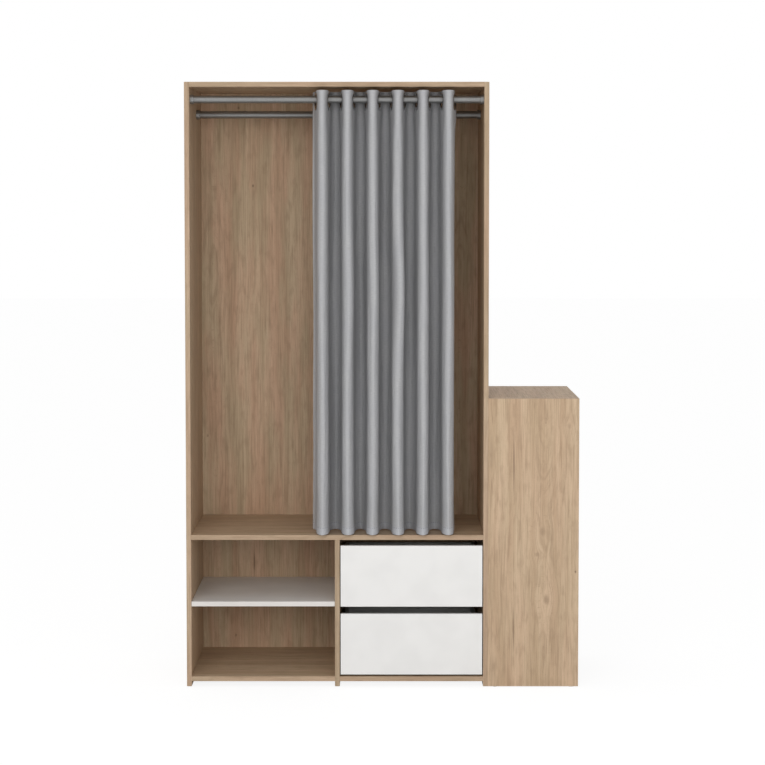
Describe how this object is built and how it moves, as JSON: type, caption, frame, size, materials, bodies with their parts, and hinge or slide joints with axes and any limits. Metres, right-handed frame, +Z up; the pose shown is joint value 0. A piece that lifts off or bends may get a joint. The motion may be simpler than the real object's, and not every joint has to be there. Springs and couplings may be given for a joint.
{
  "type": "open-front wardrobe",
  "caption": "Open-front wardrobe: a hanging bay behind a sliding eyelet curtain, drawers and open cubbies below, and a low shelf unit at one side.",
  "frame": {"origin": "on the floor, under the centre of the box round the whole, which the curtain's folds reach at the front", "axes": "+X to the right and +Z up as seen from the front; the open front faces -Y"},
  "size_m": [1.3, 0.5276, 2.0015],
  "materials": {
    "oak_decor": "satin",
    "back_decor": "matte",
    "white_melamine": "satin",
    "drawer_foil": "matte",
    "rail_steel": "satin",
    "pin_steel": "satin",
    "runner_zinc": "satin",
    "curtain_cloth": "matte",
    "eyelet_nickel": "satin"
  },
  "bodies": {
    "root": {"side_panel_left": "oak_decor", "side_panel_right": "oak_decor", "top_panel": "oak_decor", "hanging_floor": "oak_decor", "divider": "oak_decor", "bottom_panel_left": "oak_decor", "bottom_panel_right": "oak_decor", "back_panel_upper": "back_decor", "back_panel_lower": "back_decor", "loose_shelf": "white_melamine", "shelf_pin_1": "pin_steel", "shelf_pin_2": "pin_steel", "shelf_pin_3": "pin_steel", "shelf_pin_4": "pin_steel", "curtain_rail": "rail_steel", "curtain_rail_flange_left": "rail_steel", "curtain_rail_flange_right": "rail_steel", "hanging_rail": "rail_steel", "hanging_rail_flange_left": "rail_steel", "hanging_rail_flange_right": "rail_steel", "bay_runner_upper_left": "runner_zinc", "bay_runner_upper_right": "runner_zinc", "bay_runner_lower_left": "runner_zinc", "bay_runner_lower_right": "runner_zinc", "low_unit_side_front": "oak_decor", "low_unit_side_rear": "oak_decor", "low_unit_top": "oak_decor", "low_unit_bottom": "oak_decor", "low_unit_shelf_1": "oak_decor", "low_unit_shelf_2": "oak_decor", "low_unit_back": "back_decor"},
    "drawer_upper": {"drawer_upper_front": "white_melamine", "drawer_upper_side_left": "drawer_foil", "drawer_upper_side_right": "drawer_foil", "drawer_upper_back": "drawer_foil", "drawer_upper_bottom": "drawer_foil", "drawer_upper_runner_left": "runner_zinc", "drawer_upper_runner_right": "runner_zinc"},
    "drawer_lower": {"drawer_lower_front": "white_melamine", "drawer_lower_side_left": "drawer_foil", "drawer_lower_side_right": "drawer_foil", "drawer_lower_back": "drawer_foil", "drawer_lower_bottom": "drawer_foil", "drawer_lower_runner_left": "runner_zinc", "drawer_lower_runner_right": "runner_zinc"},
    "curtain_tail": {"eyelet_12": "eyelet_nickel"},
    "curtain_lead": {"eyelet_01": "eyelet_nickel", "curtain": "curtain_cloth"},
    "curtain_ring_02": {"eyelet_02": "eyelet_nickel"},
    "curtain_ring_03": {"eyelet_03": "eyelet_nickel"},
    "curtain_ring_04": {"eyelet_04": "eyelet_nickel"},
    "curtain_ring_05": {"eyelet_05": "eyelet_nickel"},
    "curtain_ring_06": {"eyelet_06": "eyelet_nickel"},
    "curtain_ring_07": {"eyelet_07": "eyelet_nickel"},
    "curtain_ring_08": {"eyelet_08": "eyelet_nickel"},
    "curtain_ring_09": {"eyelet_09": "eyelet_nickel"},
    "curtain_ring_10": {"eyelet_10": "eyelet_nickel"},
    "curtain_ring_11": {"eyelet_11": "eyelet_nickel"}
  },
  "joints": [
    {"name": "drawer_upper_slide", "type": "slide", "parent": "root", "child": "drawer_upper", "axis": [0, -1, 0], "range_m": [0, 0.3]},
    {"name": "drawer_lower_slide", "type": "slide", "parent": "root", "child": "drawer_lower", "axis": [0, -1, 0], "range_m": [0, 0.3]},
    {"name": "curtain_tail_slide", "type": "slide", "parent": "root", "child": "curtain_tail", "axis": [1, 0, 0], "range_m": [0, 0.08]},
    {"name": "curtain_draw", "type": "slide", "parent": "curtain_tail", "child": "curtain_lead", "axis": [1, 0, 0], "range_m": [-0.39, 0.18], "deforming": ["curtain"]},
    {"name": "curtain_ring_02_slide", "type": "slide", "parent": "curtain_tail", "child": "curtain_ring_02", "axis": [1, 0, 0], "range_m": [-0.381, 0.1759]},
    {"name": "curtain_ring_03_slide", "type": "slide", "parent": "curtain_tail", "child": "curtain_ring_03", "axis": [1, 0, 0], "range_m": [-0.3561, 0.1644]},
    {"name": "curtain_ring_04_slide", "type": "slide", "parent": "curtain_tail", "child": "curtain_ring_04", "axis": [1, 0, 0], "range_m": [-0.3188, 0.1472]},
    {"name": "curtain_ring_05_slide", "type": "slide", "parent": "curtain_tail", "child": "curtain_ring_05", "axis": [1, 0, 0], "range_m": [-0.2728, 0.126]},
    {"name": "curtain_ring_06_slide", "type": "slide", "parent": "curtain_tail", "child": "curtain_ring_06", "axis": [1, 0, 0], "range_m": [-0.2216, 0.1023]},
    {"name": "curtain_ring_07_slide", "type": "slide", "parent": "curtain_tail", "child": "curtain_ring_07", "axis": [1, 0, 0], "range_m": [-0.1685, 0.0778]},
    {"name": "curtain_ring_08_slide", "type": "slide", "parent": "curtain_tail", "child": "curtain_ring_08", "axis": [1, 0, 0], "range_m": [-0.1173, 0.0541]},
    {"name": "curtain_ring_09_slide", "type": "slide", "parent": "curtain_tail", "child": "curtain_ring_09", "axis": [1, 0, 0], "range_m": [-0.0713, 0.0329]},
    {"name": "curtain_ring_10_slide", "type": "slide", "parent": "curtain_tail", "child": "curtain_ring_10", "axis": [1, 0, 0], "range_m": [-0.034, 0.0157]},
    {"name": "curtain_ring_11_slide", "type": "slide", "parent": "curtain_tail", "child": "curtain_ring_11", "axis": [1, 0, 0], "range_m": [-0.0091, 0.0042]}
  ],
  "couplings": [
    {"joint": "curtain_ring_02_slide", "follows": "curtain_draw", "ratio": 0.97671},
    {"joint": "curtain_ring_03_slide", "follows": "curtain_draw", "ratio": 0.91285},
    {"joint": "curtain_ring_04_slide", "follows": "curtain_draw", "ratio": 0.81743},
    {"joint": "curtain_ring_05_slide", "follows": "curtain_draw", "ratio": 0.69947},
    {"joint": "curtain_ring_06_slide", "follows": "curtain_draw", "ratio": 0.56799},
    {"joint": "curtain_ring_07_slide", "follows": "curtain_draw", "ratio": 0.43201},
    {"joint": "curtain_ring_08_slide", "follows": "curtain_draw", "ratio": 0.30053},
    {"joint": "curtain_ring_09_slide", "follows": "curtain_draw", "ratio": 0.18257},
    {"joint": "curtain_ring_10_slide", "follows": "curtain_draw", "ratio": 0.087153},
    {"joint": "curtain_ring_11_slide", "follows": "curtain_draw", "ratio": 0.023291}
  ]
}
